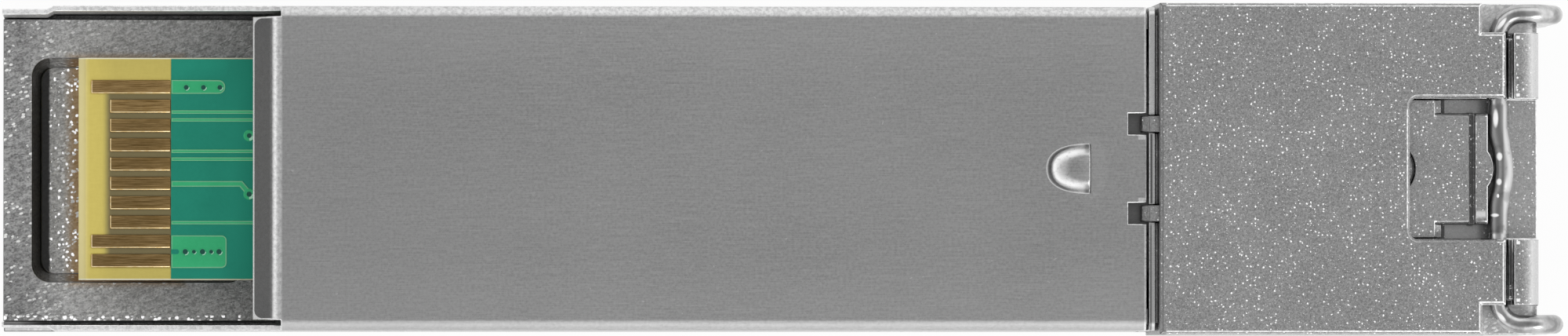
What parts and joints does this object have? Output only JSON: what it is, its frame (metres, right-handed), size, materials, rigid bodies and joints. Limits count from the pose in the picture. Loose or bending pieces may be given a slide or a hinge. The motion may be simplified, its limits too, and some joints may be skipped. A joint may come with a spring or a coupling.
{
  "type": "small pluggable transceiver",
  "caption": "Small pluggable network transceiver: cast housing, folded sheet cover with a latch boss, board edge contacts, optical ports and a wire bail that drives a release slider.",
  "frame": {"origin": "centre of the footprint, on the label face that it lies on", "axes": "+X from the rear board end to the front bail end, +Z out of the underside, +Y across"},
  "size_m": [0.0648, 0.0138, 0.0092],
  "materials": {
    "die_cast_zinc": "grainy as-cast zinc, grey",
    "polished_steel": "polished stainless steel",
    "brushed_sheet": "sheet steel, brushed lengthwise",
    "laminate": "bare yellow glass laminate",
    "solder_mask": "green solder mask",
    "gold_contact": "gold plate, scuffed",
    "chip_black": "black moulding",
    "ferrite": "dark ferrite",
    "capacitor_body": "tan ceramic",
    "white_ceramic": "polished zirconia",
    "gold_can": "gold plated header and cap",
    "flex_film": "amber film"
  },
  "bodies": {
    "module": {"main_housing": "die_cast_zinc", "nose_plate": "die_cast_zinc", "sheet_cover": "brushed_sheet", "emi_shield_plate": "brushed_sheet", "circuit_board": "laminate", "solder_mask_underside": "solder_mask", "solder_mask_label_side": "solder_mask", "edge_contacts_underside": "gold_contact", "edge_contacts_label_side": "gold_contact", "laser_driver_chip": "chip_black", "limiting_amplifier_chip": "chip_black", "controller_chip": "chip_black", "memory_chip": "chip_black", "filter_inductors": "ferrite", "capacitors": "capacitor_body", "resistors": "chip_black", "optics_retainer": "polished_steel", "transmitter_barrel": "polished_steel", "transmitter_split_sleeve": "white_ceramic", "transmitter_fibre_stub": "white_ceramic", "transmitter_can": "gold_can", "transmitter_flex": "flex_film", "receiver_barrel": "polished_steel", "receiver_split_sleeve": "white_ceramic", "receiver_fibre_stub": "white_ceramic", "receiver_can": "gold_can", "receiver_flex": "flex_film"},
    "bail": {"bail_wire": "polished_steel"},
    "slider": {"release_slider": "die_cast_zinc"}
  },
  "joints": [
    {"name": "bail_swing", "type": "hinge", "parent": "module", "child": "bail", "pos_m": [0.02959, 0, 0.0083], "axis": [0, -1, 0], "range_deg": [0, 90]},
    {"name": "slider_travel", "type": "slide", "parent": "module", "child": "slider", "axis": [-1, 0, 0], "range_m": [0, 0.0005]}
  ],
  "couplings": [
    {"joint": "bail_swing", "follows": "slider_travel", "rad_per_m": 3141.6}
  ]
}
